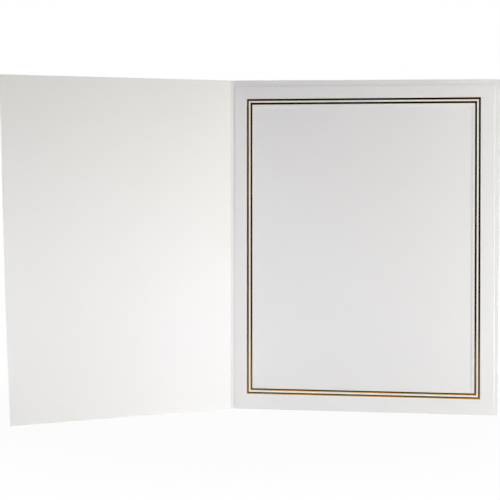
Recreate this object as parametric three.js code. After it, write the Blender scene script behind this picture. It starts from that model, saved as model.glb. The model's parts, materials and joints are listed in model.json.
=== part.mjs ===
// A card photo folder for one 8 x 10 inch print, standing open like a book.
// One sheet of card makes the cover, the spine, the back panel and, folded up along the bottom edge,
// the window frame. Glue strips join the frame to the back panel on three sides, so that the print
// slides in from the top. Two gold foil rules run round the window.
//
// Millimetres, +Z up. The back panel stands in the XZ plane with its window side towards -Y, and the
// cover swings about the spine, from flat open beside the back panel to closed over the window.
// The origin is the middle of the footprint, on the surface that the folder stands on.
import * as THREE from 'three';

// Card
const CARD = 0.4; // thickness of the sheet
const OPENING_DEG = 53.7; // turn of the cover, up from flat open

// Print and pocket
const PRINT_WIDTH = 203.2;
const PRINT_HEIGHT = 254;
const PRINT_PLAY = 0.8; // edge of the print to the glue beside it
const POCKET = 0.3; // space for the print between back panel and frame

// Window frame, measured out from the edges of the print
const WINDOW_LAP = 6.35; // how far the frame covers each edge of the print
const FRAME_SIDE = 12.55; // print to each side edge of the frame
const FRAME_FOOT = 14; // print to the foot of the folder
const FRAME_HEAD = 11.8; // print to the top edge of the frame

// Back panel, measured out from the edges of the frame; the cover has the same width and height
const BACK_SPINE_SIDE = 0.6; // frame to the axis of the crease at the spine
const BACK_FREE_SIDE = 2.9; // frame to the free edge of the back panel
const BACK_HEAD = 5.2; // frame to the top edge of the back panel

// Foil rules, the outer one centred on the edge of the print
const FOIL_WIDTH = 1.4;
const FOIL_PITCH = 3.2; // centre to centre of the two rules
const FOIL_THICKNESS = 0.08;

// Bottom fold
const FOLD_RISE = 2; // height of its two legs
const FOLD_INSIDE_RADIUS = 0.05;

// Spine and creases
const CLOSED_CLEARANCE = 1.3; // foil to cover when the folder is closed
const CREASE_GAP = 0.1; // crease bead to the card on each side of it

// Glue strips
const GLUE_INSET = 1.5; // outer edge of the glue to the edge of the frame
const GLUE_BREAK = 2; // bottom strip to each side strip

// Depths through the pocket, from the middle of the back panel's card towards the window side
const BACK_REAR = CARD / 2;
const BACK_FRONT = -CARD / 2;
const FRAME_REAR = BACK_FRONT - POCKET;
const FRAME_FRONT = FRAME_REAR - CARD;
const FOIL_FRONT = FRAME_FRONT - FOIL_THICKNESS;

// The creases turn about the middle of the card, and the spine is as wide as the closed stack
const BEAD_RADIUS = CARD / 2;
const CARD_START = BEAD_RADIUS + CREASE_GAP; // crease axis to the card beside it
const SPINE_WIDTH = CLOSED_CLEARANCE + CARD / 2 - FOIL_FRONT; // crease axis to crease axis
const CREASE_TURN = THREE.MathUtils.degToRad(OPENING_DEG / 2);

// Places in the back panel's plane, from the axis of its crease and from the foot
const FRAME_LEFT = BACK_SPINE_SIDE;
const PRINT_LEFT = FRAME_LEFT + FRAME_SIDE;
const PRINT_RIGHT = PRINT_LEFT + PRINT_WIDTH;
const FRAME_RIGHT = PRINT_RIGHT + FRAME_SIDE;
const PANEL_WIDTH = FRAME_RIGHT + BACK_FREE_SIDE;
const PRINT_FOOT = FRAME_FOOT;
const PRINT_TOP = PRINT_FOOT + PRINT_HEIGHT;
const FRAME_TOP = PRINT_TOP + FRAME_HEAD;
const PANEL_HEIGHT = FRAME_TOP + BACK_HEAD;

const CURVE_SEGMENTS = 12;

const card = new THREE.MeshStandardMaterial({ color: 0xe9e8e4, roughness: 0.5, metalness: 0 });
const foil = new THREE.MeshStandardMaterial({ color: 0xb98a35, roughness: 0.2, metalness: 1 });
const glue = new THREE.MeshStandardMaterial({ color: 0xe6dfc6, roughness: 0.35, metalness: 0 });

const ACROSS = new THREE.Vector3(1, 0, 0);
const BACKWARD = new THREE.Vector3(0, 1, 0);
const UP = new THREE.Vector3(0, 0, 1);

// A closed outline through corner points.
function outline(corners) {
  return new THREE.Shape(corners.map(([u, v]) => new THREE.Vector2(u, v)));
}

// An upright rectangle between two corners.
function rectangle(left, bottom, right, top) {
  return outline([[left, bottom], [right, bottom], [right, top], [left, top]]);
}

// A rectangular band of one width, centred on the edges of a rectangle.
function band(left, bottom, right, top, width) {
  const half = width / 2;
  const shape = rectangle(left - half, bottom - half, right + half, top + half);
  shape.holes.push(rectangle(left + half, bottom + half, right - half, top - half));
  return shape;
}

function extrude(shape, depth) {
  const settings = { depth, bevelEnabled: false, steps: 1, curveSegments: CURVE_SEGMENTS };
  return new THREE.ExtrudeGeometry(shape, settings);
}

// A flat upright piece: the outline lies in X and Z, and the piece runs from depth rear to depth front.
function upright(shape, rear, front) {
  const geometry = extrude(shape, rear - front);
  geometry.applyMatrix4(new THREE.Matrix4().makeBasis(ACROSS, UP, BACKWARD.clone().negate()));
  return geometry.translate(0, rear, 0);
}

// A named mesh in a group.
function add(group, name, geometry, material) {
  const mesh = new THREE.Mesh(geometry, material);
  mesh.name = name;
  group.add(mesh);
}

// The back panel's foot is notched for the bottom fold, which carries on from it.
function backPanel() {
  const shape = outline([
    [FRAME_RIGHT, 0],
    [PANEL_WIDTH, 0],
    [PANEL_WIDTH, PANEL_HEIGHT],
    [CARD_START, PANEL_HEIGHT],
    [CARD_START, FOLD_RISE],
    [FRAME_RIGHT, FOLD_RISE],
  ]);
  return upright(shape, BACK_REAR, BACK_FRONT);
}

// The fold under the pocket: a channel of card from the back panel's foot to the frame's foot.
function bottomFold() {
  const inside = FOLD_INSIDE_RADIUS;
  const outside = FOLD_INSIDE_RADIUS + CARD;
  const shape = new THREE.Shape();
  shape.moveTo(BACK_REAR, FOLD_RISE);
  shape.lineTo(BACK_FRONT, FOLD_RISE);
  shape.lineTo(BACK_FRONT, outside);
  shape.absarc(BACK_FRONT - inside, outside, inside, 0, -Math.PI / 2, true);
  shape.lineTo(FRAME_REAR + inside, CARD);
  shape.absarc(FRAME_REAR + inside, outside, inside, -Math.PI / 2, -Math.PI, true);
  shape.lineTo(FRAME_REAR, FOLD_RISE);
  shape.lineTo(FRAME_FRONT, FOLD_RISE);
  shape.lineTo(FRAME_FRONT, outside);
  shape.absarc(FRAME_FRONT + outside, outside, outside, Math.PI, 1.5 * Math.PI, false);
  shape.lineTo(BACK_REAR - outside, 0);
  shape.absarc(BACK_REAR - outside, outside, outside, -Math.PI / 2, 0, false);
  shape.closePath();
  const geometry = extrude(shape, FRAME_RIGHT - FRAME_LEFT);
  geometry.applyMatrix4(new THREE.Matrix4().makeBasis(BACKWARD, UP, ACROSS));
  return geometry.translate(FRAME_LEFT, 0, 0);
}

// The frame with its die-cut window, which hides a margin of the print on all sides.
function windowFrame() {
  const shape = rectangle(FRAME_LEFT, FOLD_RISE, FRAME_RIGHT, FRAME_TOP);
  shape.holes.push(
    rectangle(
      PRINT_LEFT + WINDOW_LAP,
      PRINT_FOOT + WINDOW_LAP,
      PRINT_RIGHT - WINDOW_LAP,
      PRINT_TOP - WINDOW_LAP,
    ),
  );
  return upright(shape, FRAME_REAR, FRAME_FRONT);
}

// A foil rule round the window, a distance in from the edge of the print.
function foilRule(inset) {
  const shape = band(
    PRINT_LEFT + inset,
    PRINT_FOOT + inset,
    PRINT_RIGHT - inset,
    PRINT_TOP - inset,
    FOIL_WIDTH,
  );
  return upright(shape, FRAME_FRONT, FOIL_FRONT);
}

// A glue strip that fills the pocket's depth.
function glueStrip(left, bottom, right, top) {
  return upright(rectangle(left, bottom, right, top), BACK_FRONT, FRAME_REAR);
}

// A crease: the bead of bent fibres that the card on both sides turns about.
function creaseBead() {
  const shape = new THREE.Shape();
  shape.absarc(0, 0, BEAD_RADIUS, 0, 2 * Math.PI, false);
  return extrude(shape, PANEL_HEIGHT);
}

function makeHolder() {
  const holder = new THREE.Group();
  add(holder, 'back_panel', backPanel(), card);
  add(holder, 'bottom_fold', bottomFold(), card);
  add(holder, 'window_frame', windowFrame(), card);
  add(holder, 'foil_rule_outer', foilRule(0), foil);
  add(holder, 'foil_rule_inner', foilRule(FOIL_PITCH), foil);

  const glueLeft = FRAME_LEFT + GLUE_INSET;
  const glueRight = FRAME_RIGHT - GLUE_INSET;
  const glueFoot = FOLD_RISE + GLUE_INSET;
  const glueTop = FRAME_TOP - GLUE_INSET;
  const besideLeft = PRINT_LEFT - PRINT_PLAY;
  const besideRight = PRINT_RIGHT + PRINT_PLAY;
  const underPrint = PRINT_FOOT - PRINT_PLAY;
  add(holder, 'glue_strip_left', glueStrip(glueLeft, glueFoot, besideLeft, glueTop), glue);
  add(holder, 'glue_strip_right', glueStrip(besideRight, glueFoot, glueRight, glueTop), glue);
  add(
    holder,
    'glue_strip_bottom',
    glueStrip(besideLeft + GLUE_BREAK, glueFoot, besideRight - GLUE_BREAK, underPrint),
    glue,
  );
  return holder;
}

// The cover hangs on the spine's far crease, and runs out from it towards -X.
function makeCover() {
  const cover = new THREE.Group();
  const shape = rectangle(-PANEL_WIDTH, 0, -CARD_START, PANEL_HEIGHT);
  add(cover, 'front_cover', upright(shape, CARD / 2, -CARD / 2), card);
  return cover;
}

// The spine turns about its near crease, at the foot of the back panel, and carries the cover.
function makeSpine(cover) {
  const spine = new THREE.Group();
  const shape = rectangle(CARD_START - SPINE_WIDTH, 0, -CARD_START, PANEL_HEIGHT);
  add(spine, 'spine_strip', upright(shape, CARD / 2, -CARD / 2), card);
  add(spine, 'crease_back', creaseBead(), card);
  add(spine, 'crease_cover', creaseBead().translate(-SPINE_WIDTH, 0, 0), card);
  cover.position.x = -SPINE_WIDTH;
  cover.rotation.z = CREASE_TURN;
  spine.rotation.z = CREASE_TURN;
  spine.add(cover);
  return spine;
}

const folder = new THREE.Group();
folder.add(makeHolder(), makeSpine(makeCover()));

const footprint = new THREE.Box3().setFromObject(folder, true).getCenter(new THREE.Vector3());
folder.position.set(-footprint.x, -footprint.y, 0);

const photoFolder = new THREE.Group();
photoFolder.add(folder);

export default photoFolder;
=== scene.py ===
"""The looks of a card photo folder that stands open like a book.

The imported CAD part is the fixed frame. The card is modelled here as the folded sheet that it is: a plain
cover, a spine between two creases, a back panel, and a window frame that turns up along the bottom edge.
Foil rules run round the window, and strips of glue hold the pocket together.
"""

import json
import logging
import math
from collections.abc import Callable, Iterator
from contextlib import contextmanager
from dataclasses import dataclass
from enum import Enum

import bmesh
import bpy
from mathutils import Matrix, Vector

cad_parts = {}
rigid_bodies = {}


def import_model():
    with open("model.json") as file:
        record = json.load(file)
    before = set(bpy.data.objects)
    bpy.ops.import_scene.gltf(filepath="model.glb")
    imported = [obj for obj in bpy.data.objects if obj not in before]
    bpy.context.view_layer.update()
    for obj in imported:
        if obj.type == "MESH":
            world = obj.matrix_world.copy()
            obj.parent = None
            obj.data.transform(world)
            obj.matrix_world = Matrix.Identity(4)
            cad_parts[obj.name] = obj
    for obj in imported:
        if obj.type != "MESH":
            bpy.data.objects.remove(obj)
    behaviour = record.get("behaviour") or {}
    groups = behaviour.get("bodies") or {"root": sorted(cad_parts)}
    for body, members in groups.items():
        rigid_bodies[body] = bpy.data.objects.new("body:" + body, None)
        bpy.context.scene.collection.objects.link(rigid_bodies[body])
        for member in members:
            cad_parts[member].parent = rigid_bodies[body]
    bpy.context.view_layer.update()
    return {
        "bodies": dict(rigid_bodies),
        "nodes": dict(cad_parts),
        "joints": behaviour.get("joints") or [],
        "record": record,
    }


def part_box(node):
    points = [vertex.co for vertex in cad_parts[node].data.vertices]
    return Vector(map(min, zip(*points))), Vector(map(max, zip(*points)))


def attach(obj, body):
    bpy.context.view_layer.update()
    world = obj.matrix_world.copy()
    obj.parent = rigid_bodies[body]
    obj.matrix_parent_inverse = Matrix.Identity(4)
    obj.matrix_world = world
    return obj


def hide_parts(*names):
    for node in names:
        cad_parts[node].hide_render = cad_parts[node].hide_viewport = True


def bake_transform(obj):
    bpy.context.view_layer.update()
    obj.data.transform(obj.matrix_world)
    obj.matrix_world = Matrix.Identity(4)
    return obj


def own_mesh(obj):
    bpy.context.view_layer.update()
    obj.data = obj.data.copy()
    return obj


Point = tuple[float, float, float]
Colour = tuple[float, float, float]
Span = tuple[float, float]
Socket = bpy.types.NodeSocket
Source = Socket | float | tuple[float, ...]
Inputs = dict[str | int, Source]

MM = 0.001
HAIR = 0.01 * MM  # places closer than this count as the same
SHARP_DEG = 60.0  # faces that turn more than this meet at a corner
SMOOTH_DEG = 50.0  # faces that turn less than this are shaded as one
CUT_EDGE_PLACE = 1  # place of the cut edge's finish in a card piece's list
NOISE_RANGE = (0.25, 0.75)  # where most values of a noise lie
SIDEWAYS = Vector((1.0, 0.0, 0.0))
UP = Vector((0.0, 0.0, 1.0))

log = logging.getLogger("photo_folder")


class Body(Enum):
    """The rigid bodies that pieces move with."""

    HOLDER = "holder"
    SPINE = "spine"
    COVER = "cover"


class Slot(Enum):
    """The record's material slots."""

    CARD = "card"
    FOIL = "foil"
    GLUE = "glue"


class Select(Enum):
    """What an edit-mode selection holds."""

    EDGES = "EDGE"
    FACES = "FACE"


class Run(Enum):
    """How a level runs from its foot to its top."""

    STRAIGHT = "LINEAR"
    SMOOTH = "SMOOTHSTEP"


@dataclass(frozen=True)
class Layout:
    """Places of the folder, in metres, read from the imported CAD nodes.

    Attributes:
        card: Thickness of the card.
        head: Height of the cover, spine and back panel.
        back_near: X of the back panel's edge beside the crease.
        back_free: X of the back panel's free edge.
        back_depth: Y of the middle of the back panel's card.
        frame_left: X of the window frame's edge beside the spine.
        frame_right: X of the window frame's other side edge.
        frame_head: Z of the window frame's top edge.
        frame_depth: Y of the middle of the window frame's card.
        fold_rise: Height of the legs of the bottom fold.
        cover_width: Crease axis to free edge of the cover.
        back_crease: Foot of the crease axis between back panel and spine.
        cover_crease: Foot of the crease axis between spine and cover.
        turn: Turn of each crease at rest, in radians.
    """

    card: float
    head: float
    back_near: float
    back_free: float
    back_depth: float
    frame_left: float
    frame_right: float
    frame_head: float
    frame_depth: float
    fold_rise: float
    cover_width: float
    back_crease: Vector
    cover_crease: Vector
    turn: float

    @classmethod
    def from_frame(cls, frame: dict) -> "Layout":
        """Reads the places from the loaded frame.


        Returns:
            The layout of the folder at rest.
        """
        back_low, back_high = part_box("back_panel")
        frame_low, frame_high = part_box("window_frame")
        axes = {joint["name"]: Vector(joint["pos_m"]) for joint in frame["joints"]}
        back_crease = Vector((axes["spine_fold"].x, axes["spine_fold"].y, 0.0))
        cover_crease = Vector((axes["cover_fold"].x, axes["cover_fold"].y, 0.0))
        along_spine = cover_crease - back_crease
        return cls(
            card=back_high.y - back_low.y,
            head=back_high.z,
            back_near=back_low.x,
            back_free=back_high.x,
            back_depth=(back_low.y + back_high.y) / 2,
            frame_left=frame_low.x,
            frame_right=frame_high.x,
            frame_head=frame_high.z,
            frame_depth=(frame_low.y + frame_high.y) / 2,
            fold_rise=frame_low.z,
            cover_width=back_high.x - back_crease.x,
            back_crease=back_crease,
            cover_crease=cover_crease,
            turn=math.atan2(-along_spine.y, -along_spine.x),
        )

    @property
    def spine_way(self) -> Vector:
        """Direction along the spine, from the back panel's crease to the cover's."""
        return Vector((-math.cos(self.turn), -math.sin(self.turn), 0.0))

    @property
    def cover_way(self) -> Vector:
        """Direction along the cover, from its crease to its free edge."""
        return Vector((-math.cos(2 * self.turn), -math.sin(2 * self.turn), 0.0))

    @property
    def crease_margin(self) -> float:
        """Crease axis to the flat card on each side of it."""
        return self.back_near - self.back_crease.x


def sharp(edge: bmesh.types.BMEdge) -> bool:
    """Says whether the faces beside an edge meet at a corner."""
    return len(edge.link_faces) == 2 and edge.calc_face_angle() > math.radians(SHARP_DEG)


def middle_of(edge: bmesh.types.BMEdge) -> Vector:
    """Gives the middle of an edge."""
    return (edge.verts[0].co + edge.verts[1].co) / 2


def every(part: bmesh.types.BMFace) -> bool:
    """Passes every face of a piece."""
    return True


def report(piece: bpy.types.Object) -> None:
    """Logs a finished piece and how many faces it has."""
    log.info("%s: %d faces", piece.name, len(piece.data.polygons))


class Bench:
    """Modelling steps, each done on the piece that was added last."""

    @staticmethod
    def clear() -> None:
        """Deselects everything."""
        bpy.ops.object.select_all(action="DESELECT")

    @classmethod
    def upright_grid(
        cls, name: str, low: Vector, high: Vector, columns: int = 1, rows: int = 1
    ) -> bpy.types.Object:
        """Adds a flat upright grid that faces -Y.

        Args:
            name: Name of the piece.
            low: Lower left corner; its Y is the depth of the grid.
            high: Upper right corner.
            columns: Cells across.
            rows: Cells up.

        Returns:
            The new piece, with its place in its mesh.
        """
        cls.clear()
        middle = (low + high) / 2
        bpy.ops.mesh.primitive_grid_add(
            x_subdivisions=columns,
            y_subdivisions=rows,
            size=1.0,
            location=(middle.x, low.y, middle.z),
            rotation=(math.pi / 2, 0.0, 0.0),
        )
        piece = bpy.context.object
        piece.name = name
        piece.data.name = name
        piece.scale = (high.x - low.x, high.z - low.z, 1.0)
        cls.settle()
        return piece

    @staticmethod
    def settle() -> None:
        """Puts the piece's place, turn and scale into its mesh."""
        bpy.ops.object.transform_apply(location=True, rotation=True, scale=True)

    @classmethod
    def place(cls, location: Vector, turn: float) -> None:
        """Turns the piece about Z, moves it, and puts that into its mesh.

        Args:
            location: Where its origin goes.
            turn: Turn about Z, in radians.
        """
        bpy.context.object.rotation_euler = (0.0, 0.0, turn)
        bpy.context.object.location = location
        cls.settle()

    @staticmethod
    @contextmanager
    def selected(kind: Select, test: Callable = every) -> Iterator[None]:
        """Keeps the piece in edit mode, with the edges or faces that pass a test selected.

        Args:
            kind: Whether edges or faces are tested.
            test: Takes a BMesh edge or face and says whether it is selected.
        """
        shape = bpy.context.object.data
        bpy.ops.object.mode_set(mode="EDIT")
        bpy.ops.mesh.select_mode(type=kind.value)
        bpy.ops.mesh.select_all(action="DESELECT")
        mesh = bmesh.from_edit_mesh(shape)
        for part in mesh.edges if kind is Select.EDGES else mesh.faces:
            part.select_set(test(part))
        mesh.select_flush_mode()
        bmesh.update_edit_mesh(shape)
        yield
        bpy.ops.object.mode_set(mode="OBJECT")

    @classmethod
    def cut(cls, place: Vector, normal: Vector) -> None:
        """Cuts the whole mesh along the plane through a place, and keeps both sides."""
        with cls.selected(Select.FACES):
            bpy.ops.mesh.bisect(plane_co=place, plane_no=normal, use_fill=False)

    @classmethod
    def drop_faces(cls, test: Callable) -> None:
        """Deletes the faces that pass a test."""
        with cls.selected(Select.FACES, test):
            bpy.ops.mesh.delete(type="FACE")

    @classmethod
    def draw_out(cls, test: Callable, path: list[Vector]) -> None:
        """Extrudes a row of edges along a path.

        Args:
            test: Takes an edge and says whether it starts the row.
            path: Where the row starts, and then each place that it goes to.
        """
        with cls.selected(Select.EDGES, test):
            for before, after in zip(path, path[1:]):
                bpy.ops.mesh.extrude_region_move(TRANSFORM_OT_translate={"value": after - before})

    @classmethod
    def shift_edges(cls, test: Callable, move: Vector, reach: float = 0.0) -> None:
        """Moves the edges that pass a test, and draws the surface beside them along.

        Args:
            test: Takes an edge and says whether it moves.
            move: How far they move.
            reach: How far beside them the move fades out.
        """
        with cls.selected(Select.EDGES, test):
            bpy.ops.transform.translate(
                value=move,
                use_proportional_edit=reach > 0.0,
                proportional_edit_falloff="SMOOTH",
                proportional_size=reach or MM,
            )

    @staticmethod
    def thicken(thickness: float) -> None:
        """Gives a sheet its thickness, half to each side, with cut edges in their own finish.

        Args:
            thickness: The thickness of the card.
        """
        solid = bpy.context.object.modifiers.new("card", "SOLIDIFY")
        solid.thickness = thickness
        solid.offset = 0.0
        solid.use_even_offset = True
        solid.material_offset_rim = CUT_EDGE_PLACE
        bpy.ops.object.modifier_apply(modifier=solid.name)

    @classmethod
    def round_edges(cls, test: Callable, radius: float, segments: int = 2) -> None:
        """Rounds the edges that pass a test, with some faces across the rounding."""
        with cls.selected(Select.EDGES, test):
            bpy.ops.mesh.bevel(offset=radius, offset_type="OFFSET", segments=segments, affect="EDGES")

    @staticmethod
    def smooth(angle_deg: float = SMOOTH_DEG) -> None:
        """Shades the piece smooth across low corners, while its large faces keep their own normals.

        Args:
            angle_deg: Edges that turn less than this are smooth.
        """
        bpy.ops.object.shade_smooth_by_angle(angle=math.radians(angle_deg))
        weighted = bpy.context.object.modifiers.new("weighted", "WEIGHTED_NORMAL")
        weighted.keep_sharp = True
        weighted.weight = 100
        bpy.ops.object.modifier_apply(modifier=weighted.name)

    @classmethod
    def face_out(cls) -> None:
        """Turns all faces of the piece outwards."""
        with cls.selected(Select.FACES):
            bpy.ops.mesh.normals_make_consistent(inside=False)


@dataclass(frozen=True)
class Rise:
    """A level that runs from a foot to a top.

    Attributes:
        start: Where the run starts.
        end: Where it ends.
        foot: Level before it.
        top: Level after it.
    """

    start: float
    end: float
    foot: float
    top: float = 1.0


@dataclass(frozen=True)
class Grain:
    """A noise in a finish.

    Attributes:
        fineness: Features a metre.
        octaves: Layers of detail.
        upright: Scale along Z; less than 1 draws the features out upwards.
    """

    fineness: float
    octaves: float
    upright: float = 1.0


Grains = tuple[Grain, ...]


class Nodes:
    """A node tree, with short ways to add and link nodes."""

    def __init__(self, owner: bpy.types.ID) -> None:
        """Opens the node tree of a material or a world."""
        owner.use_nodes = True
        self.tree = owner.node_tree

    def add(self, kind: str, inputs: Inputs | None = None, **settings: str) -> bpy.types.Node:
        """Adds a node.

        Args:
            kind: Type of the node.
            inputs: What each of these inputs is linked or set to.
            settings: The node's own settings.

        Returns:
            The node.
        """
        node = self.tree.nodes.new(kind)
        for name, setting in settings.items():
            setattr(node, name, setting)
        for name, source in (inputs or {}).items():
            self.feed(node.inputs[name], source)
        return node

    def feed(self, target: Socket, source: Source) -> None:
        """Links an input to a socket, or sets it to a number or a colour.

        Args:
            target: The input.
            source: What it gets.
        """
        if isinstance(source, Socket):
            self.tree.links.new(source, target)
        else:
            target.default_value = source

    def maths(self, operation: str, first: Source, second: Source) -> Socket:
        """Joins two values by a Math node."""
        return self.add("ShaderNodeMath", {0: first, 1: second}, operation=operation).outputs["Value"]

    def level(self, value: Socket, rise: Rise, run: Run) -> Socket:
        """Turns a value into a level.

        Args:
            value: What is measured.
            rise: Between which levels it runs, and where.
            run: How it runs between them.

        Returns:
            The level.
        """
        limits = {"From Min": rise.start, "From Max": rise.end, "To Min": rise.foot, "To Max": rise.top}
        node = self.add("ShaderNodeMapRange", {"Value": value, **limits}, interpolation_type=run.value)
        return node.outputs["Result"]


class FinishGraph(Nodes):
    """Node tree of a finish: one Principled shader that noises feed."""

    def __init__(self, name: str) -> None:
        """Starts a material.

        Args:
            name: Name of the material.
        """
        self.material = bpy.data.materials.new(name)
        super().__init__(self.material)
        self.inputs = self.tree.nodes["Principled BSDF"].inputs
        self.place = self.add("ShaderNodeTexCoord").outputs["Object"]
        self.noises: dict[Grain, Socket] = {}

    def noise(self, grain: Grain) -> Socket:
        """Gives a noise on Object coordinates, which is added once and shared.

        Args:
            grain: The kind of noise.

        Returns:
            The noise's value, from 0 to 1.
        """
        if grain not in self.noises:
            stretch = (1.0, 1.0, grain.upright)
            mapping = self.add("ShaderNodeMapping", {"Vector": self.place, "Scale": stretch})
            look = {"Scale": grain.fineness, "Detail": grain.octaves}
            texture = self.add("ShaderNodeTexNoise", {"Vector": mapping.outputs["Vector"], **look})
            self.noises[grain] = texture.outputs["Fac"]
        return self.noises[grain]

    def mean(self, grains: Grains) -> Socket:
        """Gives the mean of some noises.

        Args:
            grains: The kinds of noise.

        Returns:
            Their mean, from 0 to 1.
        """
        total = self.noise(grains[0])
        for grain in grains[1:]:
            total = self.maths("ADD", total, self.noise(grain))
        return total if len(grains) == 1 else self.maths("MULTIPLY", total, 1.0 / len(grains))

    def spread(self, grains: Grains, low: float, high: float) -> Socket:
        """Maps the middle range of some noises' mean to a low and a high number."""
        return self.level(self.mean(grains), Rise(*NOISE_RANGE, low, high), Run.STRAIGHT)

    def mix(self, share: Socket, first: Colour, second: Colour) -> Socket:
        """Mixes two colours by a value.

        Args:
            share: 0 for the first colour, 1 for the second.
            first: A linear colour.
            second: A linear colour.

        Returns:
            The mixed colour.
        """
        node = self.add("ShaderNodeMix", {"Factor": share}, data_type="RGBA")
        first_in, second_in = [socket for socket in node.inputs if socket.type == "RGBA"]
        self.feed(first_in, (*first, 1.0))
        self.feed(second_in, (*second, 1.0))
        return next(socket for socket in node.outputs if socket.type == "RGBA")


@dataclass(frozen=True)
class Finish:
    """A finish whose colour, roughness and tooth come from noises.

    Attributes:
        name: Name of the material.
        dull: Linear colour of the dullest parts.
        bright: Linear colour of the brightest parts.
        tones: Noises that vary the colour.
        gloss: Noises that vary the roughness.
        roughness: Least and most roughness.
        relief: Noises that raise the surface.
        tooth: Depth of the surface's tooth, in metres.
        bite: Share of the tooth that shows.
        specular: Level of the coating's reflection.
        metallic: 1 for metal.
    """

    name: str
    dull: Colour
    bright: Colour
    tones: Grains
    gloss: Grains
    roughness: Span
    relief: Grains
    tooth: float
    bite: float
    specular: float = 0.5
    metallic: float = 0.0

    def material(self) -> bpy.types.Material:
        """Makes the material.

        Returns:
            The material, made of nodes.
        """
        graph = FinishGraph(self.name)
        colour = graph.mix(graph.spread(self.tones, 0.0, 1.0), self.dull, self.bright)
        height = graph.mean(self.relief)
        depth = {"Distance": self.tooth, "Strength": self.bite}
        bump = graph.add("ShaderNodeBump", {"Height": height, **depth})
        graph.feed(graph.inputs["Base Color"], colour)
        graph.feed(graph.inputs["Roughness"], graph.spread(self.gloss, *self.roughness))
        graph.feed(graph.inputs["Normal"], bump.outputs["Normal"])
        graph.feed(graph.inputs["Specular IOR Level"], self.specular)
        graph.feed(graph.inputs["Metallic"], self.metallic)
        return graph.material


CARD_FIBRES = Grain(fineness=1100.0, octaves=3.0, upright=0.28)
EDGE_FUZZ = Grain(fineness=2600.0, octaves=4.0)
FOIL_FILM = Grain(fineness=420.0, octaves=4.0)
GLUE_BLOBS = Grain(fineness=320.0, octaves=2.0)


@dataclass(frozen=True)
class CardFinish(Finish):
    """Satin white board: a faint cloudiness, short fibres along the sheet, and a fine tooth."""

    name: str = "satin_card"
    dull: Colour = (0.880, 0.876, 0.868)
    bright: Colour = (0.905, 0.902, 0.895)
    tones: Grains = (Grain(fineness=16.0, octaves=4.0), CARD_FIBRES)
    gloss: Grains = (CARD_FIBRES,)
    roughness: Span = (0.41, 0.51)
    relief: Grains = (CARD_FIBRES, Grain(fineness=3200.0, octaves=2.0))
    tooth: float = 0.02 * MM
    bite: float = 0.35
    specular: float = 0.4


@dataclass(frozen=True)
class CutEdgeFinish(Finish):
    """The die-cut edge of the board: bare fibres in layers, duller than the coated faces."""

    name: str = "cut_card_edge"
    dull: Colour = (0.79, 0.78, 0.755)
    bright: Colour = (0.86, 0.855, 0.84)
    tones: Grains = (Grain(fineness=5200.0, octaves=3.0, upright=0.2),)
    gloss: Grains = (EDGE_FUZZ,)
    roughness: Span = (0.78, 0.92)
    relief: Grains = (EDGE_FUZZ,)
    tooth: float = 0.05 * MM
    bite: float = 0.5
    specular: float = 0.25


@dataclass(frozen=True)
class FoilFinish(Finish):
    """Hot-stamped gold foil: a mirror film that takes on the tooth of the card below it."""

    name: str = "gold_foil"
    dull: Colour = (0.68, 0.37, 0.06)
    bright: Colour = (0.80, 0.45, 0.08)
    tones: Grains = (FOIL_FILM,)
    gloss: Grains = (FOIL_FILM,)
    roughness: Span = (0.09, 0.16)
    relief: Grains = (Grain(fineness=2800.0, octaves=2.0),)
    tooth: float = 0.004 * MM
    bite: float = 0.3
    metallic: float = 1.0


@dataclass(frozen=True)
class GlueFinish(Finish):
    """Dried adhesive, a little yellow, with the streaks of the strip applicator."""

    name: str = "dried_glue"
    dull: Colour = (0.70, 0.62, 0.44)
    bright: Colour = (0.80, 0.75, 0.62)
    tones: Grains = (Grain(fineness=700.0, octaves=3.0, upright=0.06),)
    gloss: Grains = (GLUE_BLOBS,)
    roughness: Span = (0.28, 0.42)
    relief: Grains = (GLUE_BLOBS,)
    tooth: float = 0.05 * MM
    bite: float = 0.4


@dataclass(frozen=True)
class Finishes:
    """The materials of the folder, made once and shared.

    Attributes:
        card: Faces of the board.
        cut_edge: Cut edges of the board.
        foil: Foil rules.
        glue: Glue strips.
    """

    card: bpy.types.Material
    cut_edge: bpy.types.Material
    foil: bpy.types.Material
    glue: bpy.types.Material

    @classmethod
    def make(cls) -> "Finishes":
        """Makes all the materials.

        Returns:
            The set of them.
        """
        return cls(
            card=CardFinish().material(),
            cut_edge=CutEdgeFinish().material(),
            foil=FoilFinish().material(),
            glue=GlueFinish().material(),
        )

    def dress_card(self, piece: bpy.types.Object) -> None:
        """Gives a card piece its two finishes, faces first."""
        self.dress(piece, self.card, Slot.CARD)
        piece.data.materials.append(self.cut_edge)

    def dress(self, piece: bpy.types.Object, material: bpy.types.Material, slot: Slot) -> None:
        """Gives a piece one finish all over.

        Args:
            piece: The piece.
            material: Its finish.
            slot: Not used.
        """
        piece.data.materials.clear()
        piece.data.materials.append(material)


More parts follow.
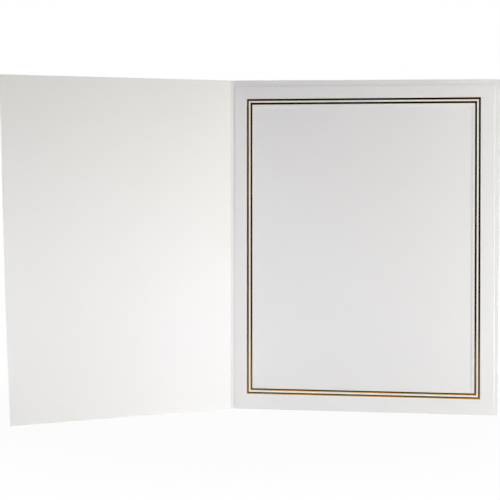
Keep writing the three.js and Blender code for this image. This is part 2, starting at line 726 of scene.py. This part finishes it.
@dataclass
class WindowPocket:
    """The holder: back panel, window frame with its bottom fold, foil rules and glue.

    Attributes:
        layout: Places of the folder.
        finishes: Materials of the folder.
        settle: How far the frame of the empty pocket lies back from its place with a print.
        spine_clear: How far the frame's left edge is trimmed, clear of the crease.
        back_slant: How much wider the back panel is at its head than at its foot.
        head_slant: How much lower the back panel's head is at its free side than at the crease.
        back_curl: How far the back panel's free edge curls forward.
        stamp_shift: How far rules and window lie off their place, towards the spine.
        window_lap: Outer rule's middle line to the window's edge.
        foil_width: Width of a foil rule.
        foil_spread: How far the stamped film spreads past the rule on each side.
        foil_wall: Height of a rule's upright side.
        crown_deg: Slope of a rule's face at its sides.
        crown_width: Side of a rule to the flat in its middle.
        crown_steps: Faces from the side to the flat.
        crown_smooth_deg: Turn between faces that stays smooth, less than the turn across a mitre.
        rim: Rounding of a die-cut edge.
        pressed_rim: Rounding of the front edges at the window and the free side, pressed by the die.
        pressed_steps: Faces across that rounding.
        fold_steps: Faces round the bottom fold.
        glue_corner: Rounding of the corners of a glue strip.
        glue_steps: Faces round such a corner.
        cell: Size of the card's grid cells.
    """

    layout: Layout
    finishes: Finishes
    settle: float = 0.28 * MM
    spine_clear: float = 0.45 * MM
    back_slant: float = 1.5 * MM
    head_slant: float = 1.0 * MM
    back_curl: float = 0.1 * MM
    stamp_shift: float = 0.4 * MM
    window_lap: float = 6.35 * MM
    foil_width: float = 1.4 * MM
    foil_spread: float = 0.2 * MM
    foil_wall: float = 0.005 * MM
    crown_deg: float = 32.0
    crown_width: float = 0.65 * MM
    crown_steps: int = 4
    crown_smooth_deg: float = 10.0
    rim: float = 0.07 * MM
    pressed_rim: float = 0.35 * MM
    pressed_steps: int = 3
    fold_steps: int = 12
    glue_corner: float = 2.5 * MM
    glue_steps: int = 4
    cell: float = 7.0 * MM

    @property
    def frame_depth(self) -> float:
        """Y of the middle of the frame's card in the empty pocket."""
        return self.layout.frame_depth + self.settle

    def build(self) -> None:
        """Builds and dresses the whole sub-assembly."""
        self.keep(self.back_panel(), "back_panel")
        self.keep(self.window_frame(), "window_frame", "bottom_fold")
        for ring in ("outer", "inner"):
            self.keep(self.foil_rule(f"gold_rule_{ring}", f"foil_rule_{ring}"), f"foil_rule_{ring}")
        for side in ("left", "right", "bottom"):
            self.keep(self.glue_film(f"glue_film_{side}", f"glue_strip_{side}"), f"glue_strip_{side}")

    def keep(self, piece: bpy.types.Object, *nodes: str) -> None:
        """Makes a finished piece ride on the holder in place of CAD nodes.

        Args:
            piece: The finished piece.
            nodes: The CAD nodes that it stands for.
        """
        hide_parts(*nodes)
        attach(piece, Body.HOLDER.value)
        report(piece)

    def cells(self, length: float) -> int:
        """Gives how many grid cells a length takes."""
        return round(length / self.cell)

    def back_panel(self) -> bpy.types.Object:
        """Builds the back panel, with the notch that the bottom fold fills.

        Returns:
            The dressed piece.
        """
        at = self.layout
        low = Vector((at.back_near, at.back_depth, 0.0))
        high = Vector((at.back_free + self.back_slant, at.back_depth, at.head))
        piece = Bench.upright_grid("back_sheet", low, high, self.cells(high.x - low.x), self.cells(at.head))
        self.finishes.dress_card(piece)
        free_foot = Vector((at.back_free, 0.0, 0.0))
        past_side = Vector((at.head, 0.0, -self.back_slant)).normalized()
        near_head = Vector((at.back_near, 0.0, at.head))
        past_head = Vector((self.head_slant, 0.0, at.back_free - at.back_near)).normalized()
        Bench.cut(free_foot, past_side)
        Bench.cut(near_head, past_head)
        Bench.cut(Vector((at.frame_right, 0.0, 0.0)), SIDEWAYS)
        Bench.cut(Vector((0.0, 0.0, at.fold_rise)), UP)

        def under_fold(face: bmesh.types.BMFace) -> bool:
            """Says whether a face lies where the bottom fold goes."""
            centre = face.calc_center_median()
            return centre.x < at.frame_right and centre.z < at.fold_rise

        def past_rim(face: bmesh.types.BMFace) -> bool:
            """Says whether a face lies past the slanted side or above the slanted head."""
            centre = face.calc_center_median()
            return (centre - near_head).dot(past_head) > 0.0 or (centre - free_foot).dot(past_side) > 0.0

        def free_rim(edge: bmesh.types.BMEdge) -> bool:
            """Says whether an edge lies on a cut edge, and not on the crease or the fold.

            Args:
                edge: An edge of the card.

            Returns:
                Whether it is rounded.
            """
            centre = middle_of(edge)
            at_crease = centre.x < at.back_near + HAIR
            at_fold = abs(centre.z - at.fold_rise) < HAIR and centre.x < at.frame_right + HAIR
            return sharp(edge) and not at_crease and not at_fold

        def free_side(edge: bmesh.types.BMEdge) -> bool:
            """Says whether an edge lies on the free side."""
            return all((vert.co - free_foot).dot(past_side) > -HAIR for vert in edge.verts)

        Bench.drop_faces(under_fold)
        Bench.drop_faces(past_rim)
        Bench.shift_edges(free_side, Vector((0.0, -self.back_curl, 0.0)))
        Bench.thicken(at.card)
        Bench.round_edges(free_rim, self.rim)
        Bench.smooth()
        return piece

    def fold_path(self) -> list[Vector]:
        """Gives the way of the bottom fold: down round the foot, and up to the back panel's notch.

        Returns:
            Places on it, measured from the frame's foot.
        """
        at = self.layout
        radius = (at.back_depth - self.frame_depth) / 2
        places = []
        for step in range(self.fold_steps + 1):
            angle = math.pi * step / self.fold_steps
            places.append(Vector((0.0, radius - radius * math.cos(angle), -radius * math.sin(angle))))
        places.append(places[-1] + Vector((0.0, 0.0, at.fold_rise - radius - at.card / 2)))
        return places

    def window_frame(self) -> bpy.types.Object:
        """Builds the window frame and the fold below it from one sheet.

        Returns:
            The dressed piece.
        """
        at = self.layout
        rule_low, rule_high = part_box("foil_rule_outer")
        inset = self.foil_width / 2 + self.window_lap
        left, right = rule_low.x + inset - self.stamp_shift, rule_high.x - inset - self.stamp_shift
        foot, head = rule_low.z + inset, rule_high.z - inset
        bend = (at.back_depth - self.frame_depth + at.card) / 2
        low = Vector((at.frame_left + self.spine_clear, self.frame_depth, bend))
        high = Vector((at.frame_right, self.frame_depth, at.frame_head))
        columns, rows = self.cells(high.x - low.x), self.cells(high.z - low.z)
        piece = Bench.upright_grid("window_sheet", low, high, columns, rows)
        self.finishes.dress_card(piece)
        for side in (left, right):
            Bench.cut(Vector((side, 0.0, 0.0)), SIDEWAYS)
        for level in (foot, head):
            Bench.cut(Vector((0.0, 0.0, level)), UP)

        def in_window(face: bmesh.types.BMFace) -> bool:
            """Says whether a face lies in the window."""
            centre = face.calc_center_median()
            return left < centre.x < right and foot < centre.z < head

        def bottom_row(edge: bmesh.types.BMEdge) -> bool:
            """Says whether an edge lies where the fold starts."""
            return all(abs(vert.co.z - bend) < HAIR for vert in edge.verts)

        def pressed_edge(edge: bmesh.types.BMEdge) -> bool:
            """Says whether an edge is a front corner at the window or at the free side above the fold.

            Args:
                edge: An edge of the card.

            Returns:
                Whether the die presses it round.
            """
            centre = middle_of(edge)
            inside = left - MM < centre.x < right + MM and foot - MM < centre.z < head + MM
            above_fold = all(vert.co.z > bend - HAIR for vert in edge.verts)
            at_side = above_fold and centre.x > at.frame_right - HAIR
            return sharp(edge) and (inside or at_side) and centre.y < self.frame_depth

        def free_rim(edge: bmesh.types.BMEdge) -> bool:
            """Says whether an edge lies on a cut edge, and not where the fold meets the back panel.

            Args:
                edge: An edge of the card.

            Returns:
                Whether it is rounded.
            """
            centre = middle_of(edge)
            at_notch = centre.y > at.back_depth - at.card and abs(centre.z - at.fold_rise) < HAIR
            return sharp(edge) and not at_notch

        Bench.drop_faces(in_window)
        Bench.draw_out(bottom_row, self.fold_path())
        Bench.face_out()
        Bench.thicken(at.card)
        Bench.round_edges(pressed_edge, self.pressed_rim, self.pressed_steps)
        Bench.round_edges(free_rim, self.rim)
        Bench.smooth()
        return piece

    def foil_rule(self, name: str, node: str) -> bpy.types.Object:
        """Builds one foil rule: a mitred band with a crowned face.

        Args:
            name: Name of the piece.
            node: The CAD node that gives its place.

        Returns:
            The dressed piece.
        """
        low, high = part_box(node)
        spread = self.foil_spread * (SIDEWAYS + UP)
        shift = self.stamp_shift * SIDEWAYS
        low = Vector((low.x, high.y + self.settle, low.z)) - spread - shift
        high = high + spread - shift
        piece = Bench.upright_grid(name, low, high)
        self.finishes.dress(piece, self.finishes.foil, Slot.FOIL)
        half_area = 0.5 * (high.x - low.x) * (high.z - low.z)

        def inner_face(face: bmesh.types.BMFace) -> bool:
            """Says whether a face is the large one inside the rule."""
            return face.calc_area() > half_area

        with Bench.selected(Select.FACES):
            bpy.ops.mesh.inset(thickness=self.foil_width + 2 * self.foil_spread, depth=0.0)
        Bench.drop_faces(inner_face)
        width = self.crown_width / self.crown_steps
        with Bench.selected(Select.FACES):
            raised = {"value": (0.0, -self.foil_wall, 0.0)}
            bpy.ops.mesh.extrude_region_move(TRANSFORM_OT_translate=raised)
            for step in range(self.crown_steps):
                slope = math.radians(self.crown_deg) * (1.0 - (step + 0.5) / self.crown_steps)
                bpy.ops.mesh.inset(thickness=width, depth=0.0)
                bpy.ops.transform.translate(value=(0.0, -width * math.tan(slope), 0.0))
        Bench.face_out()
        Bench.smooth(self.crown_smooth_deg)
        return piece

    def glue_film(self, name: str, node: str) -> bpy.types.Object:
        """Builds one strip of glue with round corners, pressed flat between frame and back panel.

        Args:
            name: Name of the piece.
            node: The CAD node that gives its place.

        Returns:
            The dressed piece.
        """
        at = self.layout
        low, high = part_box(node)
        rear, front = at.back_depth - at.card / 2, self.frame_depth + at.card / 2
        piece = Bench.upright_grid(name, Vector((low.x, (rear + front) / 2, low.z)), high)
        self.finishes.dress(piece, self.finishes.glue, Slot.GLUE)
        with Bench.selected(Select.FACES):
            bpy.ops.mesh.bevel(
                offset=self.glue_corner, offset_type="OFFSET", segments=self.glue_steps, affect="VERTICES"
            )
        Bench.thicken(rear - front)
        Bench.face_out()
        Bench.smooth()
        return piece


@dataclass
class Spine:
    """The narrow strip between the two creases, in two halves that each bend across one crease.

    Attributes:
        layout: Places of the folder.
        finishes: Materials of the folder.
        bend_steps: Faces round each crease, an even number.
        score: Depth of the score line inside each crease.
        score_reach: Middle of the score line to its sides.
        rows: Cells up the spine.
        blend_share: Not used.
    """

    layout: Layout
    finishes: Finishes
    bend_steps: int = 8
    score: float = 0.34 * MM
    score_reach: float = 0.27 * MM
    rows: int = 12
    blend_share: float = 0.9

    def build(self) -> None:
        """Builds both halves, and bends each one across its crease."""
        at = self.layout
        middle = (at.back_crease + at.cover_crease) / 2
        back_half = self.half("spine_back_half", at.back_crease, -SIDEWAYS, at.spine_way, middle)
        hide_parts("spine_strip", "crease_back")
        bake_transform(back_half)
        cover_half = self.half("spine_cover_half", at.cover_crease, -at.cover_way, -at.spine_way, middle)
        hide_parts("crease_cover")
        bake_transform(cover_half)

    def half(
        self, name: str, crease: Vector, way_in: Vector, way_out: Vector, end: Vector
    ) -> bpy.types.Object:
        """Builds a strip that comes in along one panel, bends round a crease and ends in mid spine.

        Args:
            name: Name of the piece.
            crease: Foot of the crease axis.
            way_in: Direction from the panel to the crease.
            way_out: Direction from the crease to the middle of the spine.
            end: Foot of the middle of the spine.

        Returns:
            The dressed piece.
        """
        at = self.layout
        path = [*self.bend_path(crease, way_in, way_out), end]
        first = path[1] - path[0]
        low, high = Vector((-first.length, 0.0, 0.0)), Vector((0.0, 0.0, at.head))
        piece = Bench.upright_grid(name, low, high, 1, self.rows)
        self.finishes.dress_card(piece)
        Bench.place(path[1], math.atan2(first.y, first.x))
        inward = (way_out - way_in).normalized()
        across = Vector((-inward.y, inward.x, 0.0))

        def last_column(edge: bmesh.types.BMEdge) -> bool:
            """Says whether an edge lies at the end of the first strip."""
            return all((vert.co - path[1]).to_2d().length < 0.1 * HAIR for vert in edge.verts)

        def inside_crease(edge: bmesh.types.BMEdge) -> bool:
            """Says whether an edge runs along the inside of the crease."""
            places = [vert.co - crease for vert in edge.verts]
            return all(abs(place.dot(across)) < HAIR and place.dot(inward) > 0.0 for place in places)

        Bench.draw_out(last_column, path[1:])
        Bench.thicken(at.card)
        Bench.face_out()
        Bench.shift_edges(inside_crease, -self.score * inward, self.score_reach)
        Bench.smooth()
        report(piece)
        return piece

    def bend_path(self, crease: Vector, way_in: Vector, way_out: Vector) -> list[Vector]:
        """Gives points on a smooth bend between two directions.

        Args:
            crease: The corner of the bend.
            way_in: Direction towards the corner.
            way_out: Direction away from it.

        Returns:
            Points from the start of the bend to its end.
        """
        start = crease - self.layout.crease_margin * way_in
        end = crease + self.layout.crease_margin * way_out
        points = []
        for step in range(self.bend_steps + 1):
            share = step / self.bend_steps
            points.append(start.lerp(crease, share).lerp(crease.lerp(end, share), share))
        return points


@dataclass
class Cover:
    """The plain cover, twisted and bowed a little as free card is.

    Attributes:
        layout: Places of the folder.
        finishes: Materials of the folder.
        twist_deg: How much further in the foot of the cover is turned than its head.
        bow: How far the free side bows out.
        bow_drop: How far below mid height the bow is deepest.
        bow_reach: Deepest place of the bow to where it fades out.
        rim: Rounding of the die-cut edges.
        flat_share: Not used.
        cell: Size of the card's grid cells.
    """

    layout: Layout
    finishes: Finishes
    twist_deg: float = 3.76
    bow: float = 2.0 * MM
    bow_drop: float = 20.0 * MM
    bow_reach: float = 200.0 * MM
    rim: float = 0.07 * MM
    flat_share: float = 0.06
    cell: float = 6.0 * MM

    def build(self) -> None:
        """Builds the cover and makes it ride on the cover's body."""
        piece = self.sheet()
        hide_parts("front_cover")
        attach(piece, Body.COVER.value)
        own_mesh(piece)
        report(piece)

    def sheet(self) -> bpy.types.Object:
        """Builds the bowed and twisted card about its crease, then sets it in its place.

        Returns:
            The dressed piece.
        """
        at = self.layout
        low = Vector((-at.cover_width, 0.0, -at.head / 2))
        high = Vector((-at.crease_margin, 0.0, at.head / 2))
        columns, rows = round((high.x - low.x) / self.cell), round(at.head / self.cell)
        piece = Bench.upright_grid("cover_sheet", low, high, columns, rows)
        self.finishes.dress_card(piece)

        def free_rim(edge: bmesh.types.BMEdge) -> bool:
            """Says whether an edge lies on a cut edge, and not on the crease."""
            return sharp(edge) and middle_of(edge).x < high.x - HAIR

        def bow_middle(edge: bmesh.types.BMEdge) -> bool:
            """Says whether an edge lies on the free side, where the bow is deepest."""
            at_side = all(vert.co.x < low.x + HAIR for vert in edge.verts)
            return at_side and abs(middle_of(edge).z + self.bow_drop) < self.cell

        Bench.shift_edges(bow_middle, Vector((0.0, self.bow, 0.0)), self.bow_reach)
        Bench.thicken(at.card)
        Bench.round_edges(free_rim, self.rim)
        twist = piece.modifiers.new("twist", "SIMPLE_DEFORM")
        twist.deform_method = "TWIST"
        twist.deform_axis = "Z"
        twist.angle = math.radians(-self.twist_deg)
        bpy.ops.object.modifier_apply(modifier=twist.name)
        Bench.place(at.cover_crease + at.head / 2 * UP, 2 * at.turn)
        Bench.smooth()
        return piece


@dataclass(frozen=True)
class Lamp:
    """One soft studio light.

    Attributes:
        name: Name of the light.
        place: Where it stands.
        size: Width and height of its face.
        power: Watts.
        colour: Linear tint.
        aim: What it is turned to.
        spread_deg: How wide its grid lets the light out.
    """

    name: str
    place: Point
    size: Span
    power: float
    colour: Colour = (1.0, 1.0, 1.0)
    aim: Point = (0.0, 0.0, 0.14)
    spread_deg: float = 180.0

    def build(self) -> None:
        """Adds the light, out of the camera's and the foil's sight."""
        lamp = bpy.data.lights.new(self.name, "AREA")
        lamp.shape = "RECTANGLE"
        lamp.size, lamp.size_y = self.size
        lamp.energy = self.power
        lamp.color = self.colour
        lamp.spread = math.radians(self.spread_deg)
        holder = bpy.data.objects.new(self.name, lamp)
        bpy.context.scene.collection.objects.link(holder)
        holder.location = self.place
        holder.rotation_euler = (Vector(self.aim) - Vector(self.place)).to_track_quat("-Z", "Y").to_euler()
        holder.visible_camera = False
        holder.visible_glossy = False


class StageGraph(Nodes):
    """Node tree of the floor or of the world."""

    def __init__(self, owner: bpy.types.ID, output: str, light: str) -> None:
        """Empties the owner's node tree.

        Args:
            owner: A material or a world.
            output: Type of its output node.
            light: Type of its nodes that give light.
        """
        super().__init__(owner)
        self.tree.nodes.clear()
        self.surface = self.add(output).inputs["Surface"]
        self.rays = self.add("ShaderNodeLightPath").outputs
        self.coords = self.add("ShaderNodeTexCoord").outputs
        self.light = light

    def glow(self, strength: Source) -> Socket:
        """Adds an even white light of this strength."""
        white = (1.0, 1.0, 1.0, 1.0)
        return self.add(self.light, {"Color": white, "Strength": strength}).outputs[0]

    def split(self, vector: Socket) -> bpy.types.NodeOutputs:
        """Splits a vector into X, Y and Z."""
        return self.add("ShaderNodeSeparateXYZ", {"Vector": vector}).outputs

    def blend(self, share: Socket, first: Socket, second: Socket) -> Socket:
        """Mixes two shaders: a share of 0 is the first one, and 1 the second."""
        return self.add("ShaderNodeMixShader", {"Fac": share, 1: first, 2: second}).outputs["Shader"]

    def mirror_rays(self) -> Socket:
        """Gives 1 for rays that were reflected or went through glass."""
        return self.maths("MAXIMUM", self.rays["Is Glossy Ray"], self.rays["Is Transmission Ray"])


@dataclass
class Studio:
    """White sweep, soft lights and the camera.

    Attributes:
        camera_place: Where the camera stands.
        camera_turn_deg: Turn of the camera to the left of +Y.
        camera_dip_deg: How far the camera looks down.
        lens_mm: Focal length.
        sensor_mm: Width of the camera's sensor.
        floor_radius: Middle of the floor to its edge.
        floor_sides: Straight sides of the floor's edge.
        floor_colour: Linear colour of the floor's paper.
        floor_white: Share of white in the floor that the camera sees, by distance from the middle.
        painted_near_reflection: Painted light level that reflections see on the floor at the folder's foot,
            by Y.
        painted_front_reflection: Painted light level that reflections see on the floor in front of the
            window, by Y.
        painted_far_fade: Share of these painted levels that is left far in front, by Y.
        even_light: Strength of the light from all round.
        painted_dark_front: Painted level of what reflections see in front of the folder, dark, by the ray's
            Y direction.
        painted_left_glow: Painted glow that reflections see to the left, by the ray's X direction; it
            lights nothing else.
        lamps: The soft lights.
    """

    camera_place: Point = (0.53321, -1.96001, 0.20527)
    camera_turn_deg: float = 15.3737
    camera_dip_deg: float = 1.805
    lens_mm: float = 176.846
    sensor_mm: float = 36.0
    floor_radius: float = 6.0
    floor_sides: int = 96
    floor_colour: Colour = (0.9, 0.9, 0.9)
    floor_white: Rise = Rise(start=0.22, end=0.55, foot=0.94)
    painted_near_reflection: Rise = Rise(start=-0.06, end=0.04, foot=0.09, top=0.9)
    painted_front_reflection: Rise = Rise(start=-0.22, end=-0.14, foot=0.38, top=0.09)
    painted_far_fade: Rise = Rise(start=-0.6, end=-0.35, foot=0.03)
    even_light: float = 0.05
    painted_dark_front: Rise = Rise(start=-0.3, end=0.0, foot=0.012)
    painted_left_glow: Rise = Rise(start=-0.75, end=-0.45, foot=0.46, top=0.012)
    lamps: tuple[Lamp, ...] = (
        Lamp(
            "key_softbox",
            place=(0.776, -0.194, 0.1),
            size=(0.13, 0.13),
            power=3.02,
            colour=(0.985, 1.0, 0.81),
        ),
        Lamp(
            "near_softbox",
            place=(0.39, -0.225, 0.1),
            size=(0.3, 0.18),
            power=0.255,
            colour=(0.795, 0.817, 1.0),
        ),
        Lamp(
            "high_softbox",
            place=(0.39, -0.225, 0.5),
            size=(0.3, 0.18),
            power=0.575,
            colour=(0.974, 0.885, 1.0),
        ),
        Lamp(
            "left_softbox",
            place=(-0.25, -0.433, 0.1),
            size=(0.3, 0.18),
            power=0.475,
            colour=(0.94, 0.935, 1.0),
            aim=(0.05, 0.09, 0.05),
            spread_deg=120.0,
        ),
        Lamp(
            "crease_softbox",
            place=(0.55, 0.03, 0.04),
            size=(0.1, 0.1),
            power=0.04,
            colour=(0.82, 0.815, 1.0),
            aim=(-0.08, 0.06, 0.05),
            spread_deg=40.0,
        ),
        Lamp("rear_softbox", place=(0.2, 1.3, 0.7), size=(1.0, 1.0), power=11.0),
        Lamp("rear_left_softbox", place=(-1.2, 0.4, 0.45), size=(0.6, 0.6), power=5.0),
    )

    def build(self) -> None:
        """Builds the stage, the lights and the camera."""
        self.floor()
        self.world()
        for lamp in self.lamps:
            lamp.build()
        self.camera()

    def floor(self) -> None:
        """Adds the pale floor: white to the camera, with the object's soft shadow near its foot, and with
        painted bands of light that only reflections see.
        """
        Bench.clear()
        bpy.ops.mesh.primitive_circle_add(
            vertices=self.floor_sides, radius=self.floor_radius, fill_type="NGON"
        )
        floor = bpy.context.object
        floor.name = "studio_floor"
        material = bpy.data.materials.new("white_floor")
        graph = StageGraph(material, "ShaderNodeOutputMaterial", "ShaderNodeEmission")
        place = graph.coords["Object"]
        distance = graph.add("ShaderNodeVectorMath", {0: place}, operation="LENGTH").outputs["Value"]
        whiteness = graph.level(distance, self.floor_white, Run.SMOOTH)
        seen_white = graph.maths("MULTIPLY", whiteness, graph.rays["Is Camera Ray"])
        # Painted reflection: mirrored rays see the floor glow in bands by Y, bright at the folder's foot,
        # dim in front of the window, brighter further out and dark far away, and not its lit paper.
        depth = graph.split(place)["Y"]
        near = graph.level(depth, self.painted_near_reflection, Run.SMOOTH)
        front = graph.level(depth, self.painted_front_reflection, Run.SMOOTH)
        far = graph.level(depth, self.painted_far_fade, Run.SMOOTH)
        painted_floor_reflection = graph.glow(graph.maths("MULTIPLY", graph.maths("MAXIMUM", near, front), far))
        paper = graph.add("ShaderNodeBsdfDiffuse", {"Color": (*self.floor_colour, 1.0)})
        seen = graph.blend(seen_white, paper.outputs["BSDF"], graph.glow(1.0))
        graph.feed(graph.surface, graph.blend(graph.mirror_rays(), seen, painted_floor_reflection))
        floor.data.materials.append(material)

    def world(self) -> None:
        """Sets the even light, the white background, and the painted reflections that only mirrored rays
        see: dark in front, glowing on the left, white elsewhere.
        """
        world = bpy.data.worlds.new("white_sweep")
        bpy.context.scene.world = world
        graph = StageGraph(world, "ShaderNodeOutputWorld", "ShaderNodeBackground")
        way = graph.split(graph.coords["Generated"])
        # Painted reflection: only mirrored rays see this room, dark in front and glowing on the left, while
        # other rays get the even light.
        rear = graph.level(way["Y"], self.painted_dark_front, Run.SMOOTH)
        left = graph.level(way["X"], self.painted_left_glow, Run.SMOOTH)
        painted_reflection_room = graph.glow(graph.maths("MAXIMUM", rear, left))
        lit = graph.blend(graph.mirror_rays(), graph.glow(self.even_light), painted_reflection_room)
        graph.feed(graph.surface, graph.blend(graph.rays["Is Camera Ray"], lit, graph.glow(1.0)))

    def camera(self) -> None:
        """Adds the camera at the photograph's viewing angle."""
        lens = bpy.data.cameras.new("camera")
        lens.lens = self.lens_mm
        lens.sensor_width = self.sensor_mm
        camera = bpy.data.objects.new("camera", lens)
        bpy.context.scene.collection.objects.link(camera)
        camera.location = self.camera_place
        tilt = math.radians(90.0 - self.camera_dip_deg)
        camera.rotation_euler = (tilt, 0.0, math.radians(self.camera_turn_deg))
        bpy.context.scene.camera = camera


def main() -> None:
    """Builds the folder's pieces round the CAD frame, then the studio."""
    logging.basicConfig(level=logging.INFO, format="%(message)s")
    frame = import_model()
    layout = Layout.from_frame(frame)
    finishes = Finishes.make()
    WindowPocket(layout, finishes).build()
    Spine(layout, finishes).build()
    Cover(layout, finishes).build()
    Studio().build()
    bpy.context.scene.view_settings.view_transform = "Standard"
    Bench.clear()


if __name__ == "__main__":
    main()
